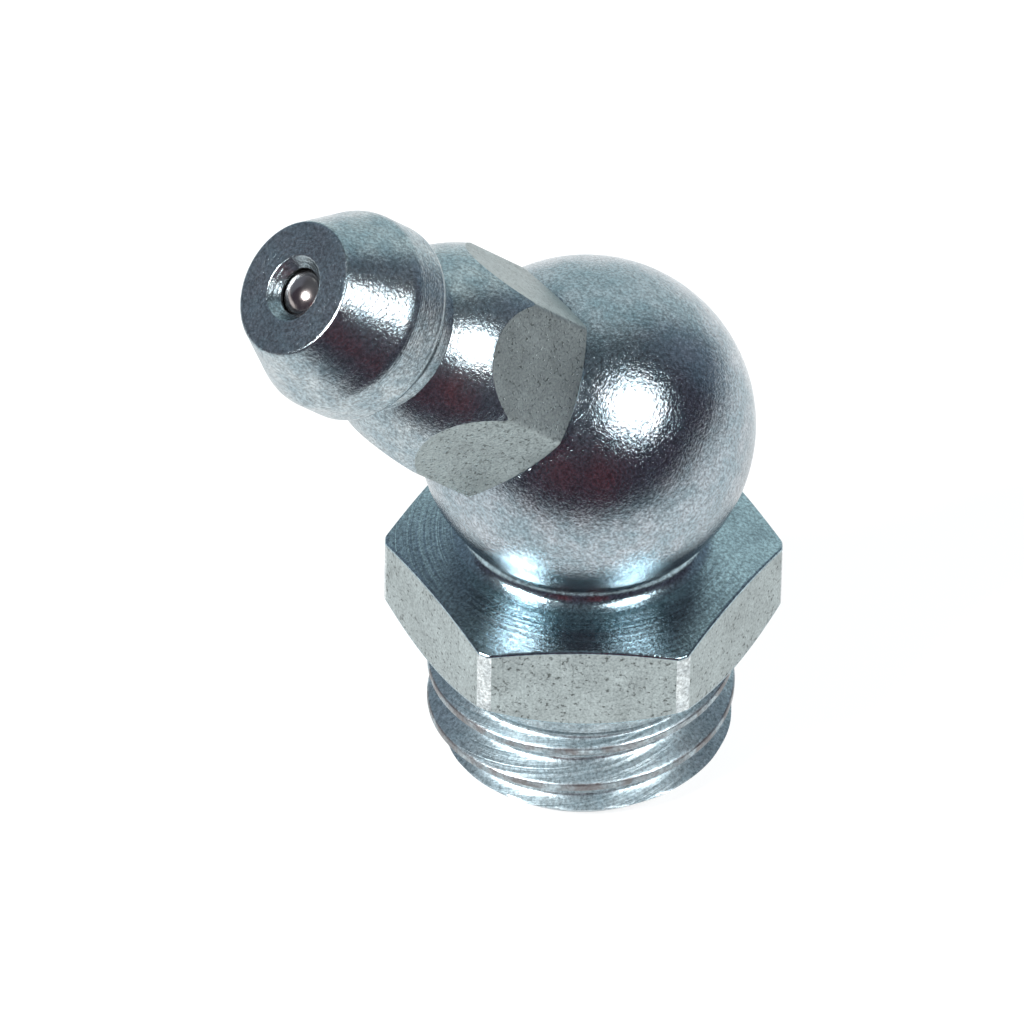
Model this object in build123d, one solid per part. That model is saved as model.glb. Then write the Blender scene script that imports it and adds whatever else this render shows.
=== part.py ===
from build123d import *
import math
import os

# Grease nipple: a hexagon body with a threaded stub below and a ball on top, and a head that
# is pressed into the ball and leans over. A sprung check ball closes the head's orifice.
# Millimetres and degrees. The origin is on the stub's axis in the seat plane under the
# hexagon, +Z goes up through the ball, and the head leans towards +X.

# Stub, at its thread's crests
stub_diameter = 9.75
stub_length = 4.85
stub_end_chamfer = 0.9

# Hexagon flange: the height is to the upper edge, halfway along a flat
hex_across_flats = 11.0
hex_corner_clip = 0.071
hex_height = 3.2
hex_top_slope = 16.7
hex_underside_slope = 33.0
washer_face_inset = 0.3

# Ball, and the groove that leaves its neck: the bite is how far the groove runs into the ball
ball_diameter = 10.6
neck_diameter = 7.5
neck_groove_radius = 0.6
neck_groove_bite = 0.203

# Where the head sits: the lean is from +Z
head_lean = 47.0
head_turn = 3.9
spot_face_depth = 1.1
socket_diameter = 5.0
socket_depth = 2.5

# Grease ways through the body
grease_bore_diameter = 3.0
drill_point_angle = 118.0
passage_diameter = 1.6

# Head's hexagon
head_hex_across_flats = 6.5
head_hex_length = 2.7
head_hex_chamfer_inset = 0.05
head_hex_chamfer_slope = 30.0
spigot_end_chamfer = 0.3

# Head from its hexagon to the tip
shoulder_length = 2.7
shoulder_radius = 5.7
head_neck_diameter = 4.9
head_neck_length = 0.5
head_neck_round = 0.4
head_flank_slope = 45.0
head_band_diameter = 6.35
head_band_length = 1.35
head_band_round = 0.35
head_cone_length = 2.15
head_face_diameter = 4.26

# Valve in the head
valve_bore_diameter = 2.5
orifice_diameter = 1.5
orifice_land = 0.1
countersink_width = 0.3
valve_seat_half_angle = 30.0
spring_wire_diameter = 0.25
spring_active_turns = 5
spring_end_turns = 1

# Clearances
spigot_side_clearance = 0.01
spigot_end_clearance = 0.1
check_ball_side_clearance = 0.25
check_ball_seat_clearance = 0.02
spring_side_clearance = 0.15
spring_end_clearance = 0.02
spring_coil_clearance = 0.03


def sine(angle):
    return math.sin(math.radians(angle))


def cosine(angle):
    return math.cos(math.radians(angle))


def tangent(angle):
    return math.tan(math.radians(angle))


# Sizes that follow from the ones above
stub_radius = stub_diameter / 2
hex_corner_radius = hex_across_flats / 2 / cosine(30) - hex_corner_clip
washer_face_radius = hex_across_flats / 2 - washer_face_inset
ball_radius = ball_diameter / 2
head_seat_distance = ball_radius - spot_face_depth
valve_bore_radius = valve_bore_diameter / 2
orifice_radius = orifice_diameter / 2
countersink_radius = orifice_radius + countersink_width
check_ball_radius = valve_bore_radius - check_ball_side_clearance
wire_radius = spring_wire_diameter / 2
socket_floor_distance = head_seat_distance - socket_depth
spigot_length = socket_depth - spigot_end_clearance

# Heights in the head, up its axis from its seat on the ball
shoulder_end = head_hex_length + shoulder_length
flank_start = shoulder_end + head_neck_length
flank_length = (head_band_diameter - head_neck_diameter) / 2 / tangent(head_flank_slope)
band_start = flank_start + flank_length
band_end = band_start + head_band_length
face_height = band_end + head_cone_length
land_top = face_height - countersink_width
land_foot = land_top - orifice_land
valve_seat_apex = land_foot + orifice_radius / tangent(valve_seat_half_angle)
valve_seat_foot = valve_seat_apex - valve_bore_radius / tangent(valve_seat_half_angle)
check_ball_drop = check_ball_radius / sine(valve_seat_half_angle) + check_ball_seat_clearance
check_ball_height = valve_seat_apex - check_ball_drop

# The neck groove's centre, and the ball's, which sits where the groove bites into it
groove_centre_radius = neck_diameter / 2 + neck_groove_radius
groove_cone_rise = (hex_across_flats / 2 - groove_centre_radius) * tangent(hex_top_slope)
groove_centre_height = hex_height + groove_cone_rise + neck_groove_radius / cosine(hex_top_slope)
ball_to_groove = ball_radius + neck_groove_radius - neck_groove_bite
ball_rise = math.sqrt(ball_to_groove**2 - groove_centre_radius**2)
ball_centre_height = groove_centre_height + ball_rise


def across_head(distance):
    """Plane across the head's axis, at a distance from the ball's centre."""
    centre = Vector(0, 0, ball_centre_height)
    axis = Vector(sine(head_lean), 0, cosine(head_lean))
    return Plane(origin=centre + axis * distance, x_dir=(0, -1, 0), z_dir=axis)


def turned(edges):
    """Solid turned about Z from a closed outline drawn as (radius, height)."""
    return revolve(Plane.XZ * make_face(edges), Axis.Z)


def drilled(radius, low, high):
    """Straight hole along Z between two heights."""
    return Pos(0, 0, low) * Cylinder(radius, high - low, align=(Align.CENTER, Align.CENTER, Align.MIN))


def hexagon_trim(across_flats, low, high, turn):
    """What milling takes off a round blank to leave a hexagon between two heights."""
    waste = Circle(across_flats) - RegularPolygon(across_flats / 2, 6, False, turn)
    return Pos(0, 0, low) * extrude(waste, high - low)


def neck_groove():
    """Groove's outline, from where it leaves the flange's cone to its edge on the ball."""
    centre = Vector(groove_centre_radius, groove_centre_height)
    foot = centre - Vector(sine(hex_top_slope), cosine(hex_top_slope)) * neck_groove_radius
    deepest = centre - Vector(neck_groove_radius, 0)
    along = (neck_groove_radius**2 - ball_radius**2 + ball_to_groove**2) / (2 * ball_to_groove)
    across = math.sqrt(neck_groove_radius**2 - along**2)
    to_ball = Vector(-groove_centre_radius, ball_rise).normalized()
    edge = centre + to_ball * along + Vector(to_ball.Y, -to_ball.X) * across
    return Spline(foot, deepest, edge)


def body_blank():
    """Stub, flange, neck and ball as they are turned from bar."""
    groove = neck_groove()
    underside_rise = (hex_corner_radius - washer_face_radius) * tangent(hex_underside_slope)
    corner_drop = (hex_corner_radius - hex_across_flats / 2) * tangent(hex_top_slope)
    ball_top = (0, ball_centre_height + ball_radius)
    flange = Polyline(
        ball_top,
        (0, -stub_length),
        (stub_radius - stub_end_chamfer, -stub_length),
        (stub_radius, stub_end_chamfer - stub_length),
        (stub_radius, 0),
        (washer_face_radius, 0),
        (hex_corner_radius, underside_rise),
        (hex_corner_radius, hex_height - corner_drop),
        groove @ 0,
    )
    ball = ThreePointArc(groove @ 1, (ball_radius, ball_centre_height), ball_top)
    return turned([*flange.edges(), *groove.edges(), *ball.edges()])


def grease_bore():
    """Hole drilled up the stub to the ball's centre, with the drill's point."""
    radius = grease_bore_diameter / 2
    point = ball_centre_height + radius / tangent(drill_point_angle / 2)
    outline = Polyline(
        (0, -stub_length),
        (radius, -stub_length),
        (radius, ball_centre_height),
        (0, point),
        close=True,
    )
    return turned(outline.edges())


def elbow_body():
    body = body_blank() - hexagon_trim(hex_across_flats, 0, groove_centre_height, 30)
    ways = drilled(passage_diameter / 2, -passage_diameter / 2, socket_floor_distance)
    ways += drilled(socket_diameter / 2, socket_floor_distance, head_seat_distance)
    spot_face = drilled(ball_radius, head_seat_distance, ball_radius * 2)
    return body - grease_bore() - across_head(0).location * (ways + spot_face)


def head_outline():
    """Half section of the head as (radius, height from its seat)."""
    corner_radius = head_hex_across_flats / 2 / cosine(30)
    chamfer_radius = head_hex_across_flats / 2 - head_hex_chamfer_inset
    chamfer_rise = (corner_radius - chamfer_radius) * tangent(head_hex_chamfer_slope)
    spigot_radius = socket_diameter / 2 - spigot_side_clearance
    neck_radius = head_neck_diameter / 2
    band_radius = head_band_diameter / 2
    shoulder_foot = (corner_radius, head_hex_length)
    shoulder_top = (neck_radius, shoulder_end)
    back = Polyline(
        (valve_bore_radius, valve_seat_foot),
        (valve_bore_radius, -spigot_length),
        (spigot_radius - spigot_end_chamfer, -spigot_length),
        (spigot_radius, spigot_end_chamfer - spigot_length),
        (spigot_radius, 0),
        (chamfer_radius, 0),
        (corner_radius, chamfer_rise),
        shoulder_foot,
    )
    shoulder = RadiusArc(shoulder_foot, shoulder_top, -shoulder_radius)
    coupling = FilletPolyline(
        shoulder_top,
        (neck_radius, flank_start),
        (band_radius, band_start),
        (band_radius, band_end),
        radius=[head_neck_round, head_band_round],
    )
    tip = Polyline(
        (band_radius, band_end),
        (head_face_diameter / 2, face_height),
        (countersink_radius, face_height),
        (orifice_radius, land_top),
        (orifice_radius, land_foot),
        (valve_bore_radius, valve_seat_foot),
    )
    return [*back.edges(), *shoulder.edges(), *coupling.edges(), *tip.edges()]


def nipple_head():
    head = turned(head_outline()) - hexagon_trim(head_hex_across_flats, 0, shoulder_end, head_turn)
    return across_head(head_seat_distance).location * head


def check_ball():
    return across_head(head_seat_distance + check_ball_height).location * Sphere(check_ball_radius)


def valve_spring():
    """Closed-end coil spring from the socket's floor to the back of the check ball.

    The wire is six-sided here, which keeps the many coils light."""
    coil_radius = valve_bore_radius - spring_side_clearance - wire_radius
    reach = check_ball_radius + wire_radius
    ball_gap = math.sqrt(reach**2 - coil_radius**2) + spring_end_clearance
    low = socket_floor_distance + wire_radius + spring_end_clearance
    high = head_seat_distance + check_ball_height - ball_gap
    end_rise = (spring_wire_diameter + spring_coil_clearance) * spring_end_turns
    turns = spring_active_turns + 2 * spring_end_turns
    steps_per_turn = 8
    path_points = []
    for step in range(turns * steps_per_turn + 1):
        turn = step / steps_per_turn
        active = min(max(turn - spring_end_turns, 0), spring_active_turns)
        rise = (turn - active) * end_rise / spring_end_turns
        rise += active / spring_active_turns * (high - low - 2 * end_rise)
        angle = 360 * turn
        path_points.append((coil_radius * cosine(angle), coil_radius * sine(angle), low + rise))
    path = Spline(path_points)
    wire_section = Plane(origin=path @ 0, z_dir=path % 0) * RegularPolygon(wire_radius, 6)
    return across_head(0).location * sweep(wire_section, path, is_frenet=True)


os.makedirs("parts", exist_ok=True)
export_step(elbow_body(), "parts/elbow_body.step")
export_step(nipple_head(), "parts/nipple_head.step")
export_step(check_ball(), "parts/check_ball.step")
export_step(valve_spring(), "parts/valve_spring.step")
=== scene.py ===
import math
from functools import partial

import bmesh
import bpy
from bpy.props import FloatProperty, FloatVectorProperty, IntProperty, PointerProperty
from mathutils import Matrix, Vector


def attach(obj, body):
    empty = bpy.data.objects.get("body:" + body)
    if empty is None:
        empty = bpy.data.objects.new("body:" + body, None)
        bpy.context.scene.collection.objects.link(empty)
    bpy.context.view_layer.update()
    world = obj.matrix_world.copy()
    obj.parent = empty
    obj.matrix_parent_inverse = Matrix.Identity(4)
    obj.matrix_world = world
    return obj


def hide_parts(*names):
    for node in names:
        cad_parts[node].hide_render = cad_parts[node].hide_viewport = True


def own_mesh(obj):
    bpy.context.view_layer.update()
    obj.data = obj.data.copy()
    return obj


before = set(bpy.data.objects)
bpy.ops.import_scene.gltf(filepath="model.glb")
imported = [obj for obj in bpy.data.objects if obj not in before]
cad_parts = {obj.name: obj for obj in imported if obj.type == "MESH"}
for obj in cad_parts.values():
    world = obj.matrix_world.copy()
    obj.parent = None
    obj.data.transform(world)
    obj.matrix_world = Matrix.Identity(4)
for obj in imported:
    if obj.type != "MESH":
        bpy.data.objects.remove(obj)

bl_info = {
    "name": "Ball-type grease nipple",
    "version": (1, 0, 0),
    "blender": (4, 5, 0),
    "location": "3D View > Sidebar > Grease nipple",
    "description": "Angled grease nipple: threaded hexagon body, ball, pressed-in head, sprung check ball",
    "category": "Add Mesh",
}

# The row frame: the origin is on the stub's axis in the seat plane under the hexagon, +Z goes up
# through the ball, and the head leans towards +X. Sizes are in metres.
MM = 0.001
UP = Vector((0, 0, 1))

# Faces across a hexagon's flat and round its corner, and round the cutter and the check ball
FLAT_COLUMNS = 24
CORNER_COLUMNS = 12
CUTTER_COLUMNS = 128
CHECK_BALL_COLUMNS = 96

# Faces along a round, a fine round, the flange's cone, the neck groove and the ball
ROUND_STEPS = 4
FINE_STEPS = 3
CONE_STEPS = 6
NECK_STEPS = 24
BALL_STEPS = 96

# Faces along the head's shoulder, and along the rounds of its grip neck, its band and its face
SHOULDER_STEPS = 28
GRIP_STEPS = 8
BAND_STEPS = 10
FACE_STEPS = 6

# A rounded corner has a point at each step and one before and after the round.
ROUND_POINTS = ROUND_STEPS + 3

# The faces' finishes, in the order of each piece's materials
TURNED, FLAT, BALL, CORNER = range(4)

# The kinds of node that are used most
MATHS = "ShaderNodeMath"
NOISE = "ShaderNodeTexNoise"
RANGE = "ShaderNodeMapRange"


def linear(hex_colour):
    """Linear RGB of an sRGB hex colour."""
    values = [int(hex_colour[i:i + 2], 16) / 255 for i in (0, 2, 4)]
    return tuple(v / 12.92 if v <= 0.04045 else ((v + 0.055) / 1.055) ** 2.4 for v in values)


def length(name, description, millimetres):
    size = millimetres * MM
    return FloatProperty(name=name, description=description, default=size, unit="LENGTH", precision=6)


def angle(name, description, degrees):
    return FloatProperty(name=name, description=description, default=math.radians(degrees), subtype="ANGLE")


def colour(name, description, hex_colour):
    return FloatVectorProperty(
        name=name, description=description, default=linear(hex_colour), subtype="COLOR", size=3, min=0, max=1
    )


class BodySizes(bpy.types.PropertyGroup):
    """Hexagon flange, neck and ball."""

    across_flats: length("Across flats", "Hexagon across its flats", 11.0)
    corner_radius: length("Corner radius", "Radius of the turned blank at the hexagon's corners", 6.25)
    flange_height: length("Flange height", "Height of the upper edge, halfway along a flat", 3.2)
    top_slope: angle("Top slope", "Slope of the cone above the flats", 16.7)
    underside_slope: angle("Underside slope", "Slope of the chamfer under the flats", 33.0)
    washer_radius: length("Washer face radius", "Radius of the flat seat face", 5.2)
    neck_radius: length("Neck radius", "Smallest radius of the neck groove", 3.75)
    groove_radius: length("Groove radius", "Radius of the neck groove's hollow", 0.6)
    ball_radius: length("Ball radius", "Radius of the ball", 5.3)
    ball_height: length("Ball height", "Height of the ball's centre", 7.85)
    bore_radius: length("Bore radius", "Radius of the grease bore up the stub", 1.5)
    drill_tip: length("Drill tip", "Height of the drill's point above the ball's centre", 0.901)
    edge_round: length("Edge round", "Round that the plating leaves on the turned edges", 0.1)
    groove_edge_round: length("Groove edge round", "Round where the neck groove meets the ball", 0.035)
    underside_round: length("Underside round", "Round on the flats' lower edges", 0.04)
    corner_blend: length("Corner blend", "Softness of the upright edges between flats", 0.01)


class ThreadSizes(bpy.types.PropertyGroup):
    """Thread rolled on the stub."""

    length: length("Stub length", "From the seat face to the stub's end", 4.85)
    crest_radius: length("Crest radius", "Radius at the thread's crests", 4.875)
    shank_radius: length("Shank radius", "Radius of the blank that the thread is rolled on", 4.57)
    pitch: length("Pitch", "Rise of the thread in one turn", 1.5)
    crest_flat: length("Crest flat", "Width of the flat on the crest", 0.25)
    depth: length("Depth", "Radial depth of the thread", 0.758)
    end_chamfer: length("End chamfer", "Width of the chamfer at the stub's end", 0.9)
    crest_height: length("Crest height", "Height of a crest at the start angle", -1.55)
    start_angle: angle("Start angle", "Angle about the stub at which the crest height holds", 59.3)
    groove_end: length("Groove end", "Height at which the rolled groove has run out", -0.95)
    groove_full: length("Groove full", "Height below which the groove has its full depth", -1.5)
    crest_end: length("Crest end", "Height at which the raised crest has run out", -0.45)
    crest_full: length("Crest full", "Height below which the crest has its full height", -1.25)
    crest_round: length("Crest round", "How softly the crests turn into the flanks", 0.12)
    root_round: length("Root round", "How softly the flanks turn into the root", 0.3)
    end_round: length("End round", "How softly the thread meets the end chamfer", 0.02)
    bore_chamfer: length("Bore chamfer", "Chamfer at the mouth of the grease bore", 0.15)
    columns: IntProperty(name="Columns", description="Faces round the stub", default=256, min=24)
    rows_per_turn: IntProperty(name="Rows per turn", description="Faces along one pitch", default=48, min=12)


class HeadSizes(bpy.types.PropertyGroup):
    """Head that the coupler grips, turned from hexagon bar. Heights go up its axis from its seat."""

    lean: angle("Lean", "Angle of the head's axis from upright", 47.0)
    turn: angle("Turn", "Turn of the head's hexagon about its axis", 33.9)
    seat_distance: length("Seat distance", "From the ball's centre to the head's seat", 4.2)
    socket_radius: length("Socket radius", "Socket in the ball for the head's spigot", 2.5)
    socket_floor: length("Socket floor", "From the ball's centre to the socket's floor", 1.7)
    passage_radius: length("Passage radius", "Grease passage between bore and socket", 0.8)
    spigot_radius: length("Spigot radius", "Spigot pressed into the ball", 2.49)
    spigot_length: length("Spigot length", "Length of the spigot", 2.4)
    across_flats: length("Across flats", "Head's hexagon across its flats", 6.5)
    chamfer_radius: length("Chamfer radius", "Radius of the hexagon's seat face", 3.2)
    hexagon_length: length("Hexagon length", "To where the shoulder leaves the corners", 2.7)
    shoulder_end: length("Shoulder end", "Height at which the shoulder meets the neck", 5.4)
    shoulder_radius: length("Shoulder radius", "Radius of the bulging shoulder", 5.7)
    neck_radius: length("Neck radius", "Radius of the neck behind the band", 2.45)
    flank_start: length("Flank start", "Height at which the gripping flank begins", 5.9)
    band_start: length("Band start", "Height at which the band begins", 6.625)
    band_end: length("Band end", "Height at which the band ends", 7.975)
    band_radius: length("Band radius", "Radius of the band", 3.175)
    face_height: length("Face height", "Height of the head's face", 10.125)
    face_radius: length("Face radius", "Radius of the head's face", 2.13)
    countersink_radius: length("Countersink radius", "Radius of the countersink in the face", 1.05)
    orifice_radius: length("Orifice radius", "Radius of the grease orifice", 0.75)
    land_top: length("Land top", "Height of the orifice's upper edge", 9.825)
    land_foot: length("Land foot", "Height of the orifice's lower edge", 9.725)
    seat_foot: length("Seat foot", "Height at which the valve's cone meets the bore", 8.859)
    valve_bore_radius: length("Valve bore radius", "Bore for the check ball and its spring", 1.25)
    spigot_chamfer: length("Spigot chamfer", "Chamfer at the spigot's end", 0.3)
    chamfer_slope: angle("Chamfer slope", "Slope of the chamfer on the hexagon's seat corners", 30.0)
    chamfer_lift: length("Chamfer lift", "Narrow wall between the seat face and the flats", 0.02)
    seat_corner_round: length("Seat corner round", "Round on the flats' lower edges", 0.04)
    flat_corner_round: length("Flat corner round", "Round on the flats' upper edges", 0.05)
    shoulder_round: length("Shoulder round", "Round where the shoulder meets the neck", 0.05)
    neck_round: length("Neck round", "Round where the neck meets the gripping flank", 0.4)
    flank_round: length("Flank round", "Round where the flank meets the band", 0.35)
    band_round: length("Band round", "Round where the band meets the cone", 0.9)
    face_round: length("Face round", "Round on the rim of the face", 0.12)
    countersink_round: length("Countersink round", "Round on the countersink's rim", 0.06)
    orifice_round: length("Orifice round", "Round on the orifice's edge", 0.02)
    blank_clip: length("Blank clip", "How much the turned blank takes off the corners", 0.03)
    corner_blend: length("Corner blend", "Softness of the edges between the flats", 0.02)


class ValveSizes(bpy.types.PropertyGroup):
    """Check ball and its spring."""

    ball_radius: length("Check ball radius", "Radius of the check ball", 1.0)
    ball_distance: length("Check ball distance", "From the big ball's centre to the check ball", 13.204)
    wire_radius: length("Wire radius", "Radius of the spring's wire", 0.125)
    coil_radius: length("Coil radius", "Radius to the middle of the wire", 0.975)
    low: length("Spring foot", "From the big ball's centre to the first coil", 1.845)
    high: length("Spring head", "From the big ball's centre to the last coil", 12.623)
    end_rise: length("End rise", "Rise of a closed end turn", 0.28)
    active_turns: IntProperty(name="Active turns", description="Open turns of the spring", default=5, min=1)
    end_turns: IntProperty(name="End turns", description="Closed turns at each end", default=1, min=1)
    travel: length("Travel", "How far the check ball can be pushed in", 0.8)


class Finish(bpy.types.PropertyGroup):
    """Colours of the plating and of the steels, with a painted highlight on the hexagon's corners and a
    painted reflection on the thread's crests.
    """

    turned: colour("Turned zinc", "Bright zinc over turned steel", "b0b9bc")
    flange: colour("Turned zinc on the flange", "Bright zinc over the flange's cone and the neck", "a3b8bf")
    turned_dark: colour("Turned zinc, thin", "Bluish film where the passivation is thick", "8da0a8")
    ball: colour("Ball zinc", "Bright zinc over the turned ball", "a9b1b7")
    flat: colour("Drawn flat", "Zinc over the drawn hexagon bar", "a3adad")
    head_flat: colour("Head's drawn flat", "Zinc over the head's smaller hexagon", "98a2a2")
    # Painted highlight: the turned corners are painted whiter than the flats.
    corner: colour("Corner highlight", "Zinc on the hexagon's turned corners, painted whiter as a highlight", "e2e8e8")
    pit: colour("Pit", "Dark pits left in the drawn bar", "5f6664")
    thread: colour("Rolled zinc", "Zinc over the rolled thread", "bac8cd")
    # Painted reflection: a thin warm line on the thread's crests.
    crest: colour("Crest reflection", "Warm reflection painted on the thread's crests", "6e6462")
    chrome_steel: colour("Bearing steel", "Check ball", "a29a98")
    spring_steel: colour("Spring steel", "Spring wire", "8c8c8e")


class Studio(bpy.types.PropertyGroup):
    """Card, room, lamps and camera."""

    card: colour("Card", "White card under the object", "8a8b8b")
    dusk: colour("Dusk", "Dim room in front of the object", "544f5c")
    ceiling: colour("Ceiling", "Room above the object", "70787f")
    boards: colour("Boards", "Two red boards in the dim part of the room", "9c3a38")
    backdrop: colour("Backdrop", "Pale wall behind the object", "e8f8fa")
    side_wall: colour("Side wall", "Wall at the object's side", "8d98a6")
    front_turn: angle("Front", "Direction of the camera, round from +X", 59.7)
    card_front: length("Card's front", "From the stub's axis to the card's front edge", 28.0)
    card_side: length("Card's side", "From the stub's axis to the card's other edges", 160.0)
    key_turn: angle("Key lamp's turn", "Turn of the key lamp from the front", 46.0)
    key_rise: angle("Key lamp's rise", "Elevation of the key lamp", 44.0)
    key_power: FloatProperty(name="Key lamp's power", description="Key lamp", default=2.8, unit="POWER")
    left_turn: angle("Left lamp's turn", "Turn of the left lamp from the front", -54.0)
    left_rise: angle("Left lamp's rise", "Elevation of the left lamp", 37.0)
    left_power: FloatProperty(name="Left lamp's power", description="Left lamp", default=6.0, unit="POWER")
    lamp_distance: length("Lamps' distance", "From the object to each lamp", 600.0)
    lamp_size: length("Lamps' size", "Diameter of each lamp", 220.0)
    lens: FloatProperty(name="Lens", description="Camera's focal length", default=492.1875, unit="CAMERA")
    sensor: FloatProperty(name="Sensor", description="Width of the sensor", default=36.0, unit="CAMERA")
    card_glow: FloatProperty(name="Card's glow", description="Added where the card is seen", default=0.78)


def add_node(tree, kind, inputs=(), **settings):
    """Adds a node with its settings, and sets or links its inputs, given by name or in order.

    A node that is given as an input stands for its first output."""
    node = tree.nodes.new(kind)
    for name, value in settings.items():
        setattr(node, name, value)
    for name, value in inputs.items() if isinstance(inputs, dict) else enumerate(inputs):
        if isinstance(value, bpy.types.Node):
            value = value.outputs[0]
        if isinstance(value, bpy.types.NodeSocket):
            tree.links.new(value, node.inputs[name])
        else:
            node.inputs[name].default_value = value
    return node


def make_with_tree(name, tree, values):
    """Plain mesh that a Geometry Nodes tree makes from the values of its named inputs."""
    holder = bpy.data.objects.new(name, bpy.data.meshes.new(name))
    bpy.context.scene.collection.objects.link(holder)
    modifier = holder.modifiers.new(name, "NODES")
    modifier.node_group = tree
    for item in tree.interface.items_tree:
        if item.item_type == "SOCKET" and item.in_out == "INPUT":
            modifier[item.identifier] = values[item.name]
    graph = bpy.context.evaluated_depsgraph_get()
    mesh = bpy.data.meshes.new_from_object(holder.evaluated_get(graph), depsgraph=graph)
    bpy.data.objects.remove(holder)
    return mesh


def new_shape_tree(name, lengths, counts):
    """Geometry Nodes tree with an input for each length and each count, and one output."""
    tree = bpy.data.node_groups.new(name, "GeometryNodeTree")
    for title in lengths:
        socket = tree.interface.new_socket(name=title, in_out="INPUT", socket_type="NodeSocketFloat")
        socket.subtype = "DISTANCE"
    for title in counts:
        tree.interface.new_socket(name=title, in_out="INPUT", socket_type="NodeSocketInt")
    tree.interface.new_socket(name="Geometry", in_out="OUTPUT", socket_type="NodeSocketGeometry")
    return tree


def around_axis(tree, turn, radius, height):
    """Point at an angle about Z, a radius and a height."""
    level = []
    for operation in ("COSINE", "SINE"):
        share = add_node(tree, MATHS, (turn,), operation=operation)
        level.append(add_node(tree, MATHS, (share, radius), operation="MULTIPLY"))
    return add_node(tree, "ShaderNodeCombineXYZ", (*level, height))


def end_tree(tree, geometry, material):
    """Ends a shape's tree: the geometry is made real and gets its material."""
    whole = add_node(tree, "GeometryNodeRealizeInstances", {"Geometry": geometry})
    clad = add_node(tree, "GeometryNodeSetMaterial", {"Geometry": whole, "Material": material})
    add_node(tree, "NodeGroupOutput", {"Geometry": clad})


def head_matrix(sizes, distance):
    """From the head's own frame, its axis along Z, to the row frame."""
    sine, cosine = math.sin(sizes.lean), math.cos(sizes.lean)
    axis = Vector((sine, 0, cosine))
    across, side = Vector((0, -1, 0)), Vector((cosine, 0, -sine))
    centre = Vector((0, 0, bpy.context.scene.nipple_body.ball_height))
    matrix = Matrix((across, side, axis)).transposed().to_4x4()
    matrix.translation = centre + axis * distance
    return matrix


# Turned pieces


def rounded_outline(corners, support=0.03 * MM):
    """Outline of (radius, height) points from corners of (radius, height, round, steps).

    A rounded corner gets a point just before and after its round, which keeps the faces beside
    it flat to the eye."""
    points = []
    for i, (r, h, rounding, steps) in enumerate(corners):
        here = Vector((r, h))
        if not rounding:
            points.append(here)
            continue
        back = (Vector(corners[i - 1][:2]) - here).normalized()
        ahead = (Vector(corners[(i + 1) % len(corners)][:2]) - here).normalized()
        half = back.angle(ahead) / 2
        reach = rounding / math.tan(half)
        centre = here + (back + ahead).normalized() * rounding / math.sin(half)
        start, end = here + back * reach - centre, here + ahead * reach - centre
        points.append(centre + start + back * support)
        for k in range(steps + 1):
            points.append(centre + start.lerp(end, k / steps).normalized() * rounding)
        points.append(centre + end + ahead * support)
    return points


def arc(centre, radius, first, last, steps):
    """Points of an arc, without its ends, as corners with no round."""
    points = []
    for k in range(1, steps):
        turn = first + (last - first) * k / steps
        points.append((centre[0] + radius * math.cos(turn), centre[1] + radius * math.sin(turn), 0, 0))
    return points


def hexagon_columns(turn, apothem, corner_radius, blend):
    """Angle and wall radius of each column round a hexagon, closest together at its corners."""
    corner, side_turn = math.radians(30), math.radians(60)
    near_corner = math.radians(27.5)
    corner_turn = 2 * (corner - near_corner)
    columns = []
    for side in range(6):
        middle = turn + side_turn * side
        steps = [-near_corner + 2 * near_corner * k / FLAT_COLUMNS for k in range(FLAT_COLUMNS)]
        steps += [near_corner + corner_turn * k / CORNER_COLUMNS for k in range(CORNER_COLUMNS)]
        for step in steps:
            wall = apothem / math.cos(step if step <= corner else step - side_turn)
            # The flat gives way to the turned corner softly, over the blend's width.
            soft = blend * math.log(math.exp((corner_radius - wall) / blend) + 1)
            columns.append((middle + step, corner_radius - soft))
    return columns


def turned_mesh(name, columns, outline_of, matrix, bands, closed, materials_used):
    """Mesh from one outline per column; bands gives a face's material from its row and column."""
    mesh = bpy.data.meshes.new(name)
    vertices, faces, materials = [], [], []
    count = 0
    for turn, wall in columns:
        outline = outline_of(wall)
        count = len(outline)
        direction = Vector((math.cos(turn), math.sin(turn), 0))
        vertices += [matrix @ (direction * p.x + UP * p.y) for p in outline]
    for column in range(len(columns)):
        here, following = column * count, (column + 1) % len(columns) * count
        for row in range(count if closed else count - 1):
            above = (row + 1) % count
            faces.append((here + row, following + row, following + above, here + above))
            materials.append(bands(row, column))
    mesh.from_pydata(vertices, [], faces)
    for material in materials_used:
        mesh.materials.append(material)
    mesh.polygons.foreach_set("material_index", materials)
    tidy = bmesh.new()
    tidy.from_mesh(mesh)
    bmesh.ops.remove_doubles(tidy, verts=tidy.verts, dist=1e-8)
    bmesh.ops.recalc_face_normals(tidy, faces=tidy.faces)
    tidy.to_mesh(mesh)
    tidy.free()
    return mesh


def add_piece(name, mesh, body, node):
    """Puts a finished mesh in the scene, on its body, in place of its CAD node."""
    mesh.polygons.foreach_set("use_smooth", [True] * len(mesh.polygons))
    mesh.set_sharp_from_angle(angle=math.radians(38))
    piece = bpy.data.objects.new(name, mesh)
    bpy.context.scene.collection.objects.link(piece)
    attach(piece, body)
    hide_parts(node)
    return piece


# Finishes


def new_finish(name, base_colour, roughness, metallic=1.0):
    material = bpy.data.materials.new(name)
    material.use_nodes = True
    shader = material.node_tree.nodes["Principled BSDF"]
    shader.inputs["Base Color"].default_value = (*base_colour, 1)
    shader.inputs["Metallic"].default_value = metallic
    shader.inputs["Roughness"].default_value = roughness
    return material, material.node_tree, shader


def feature(millimetres):
    """Texture scale that gives features of this size."""
    return 1 / (millimetres * MM)


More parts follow.
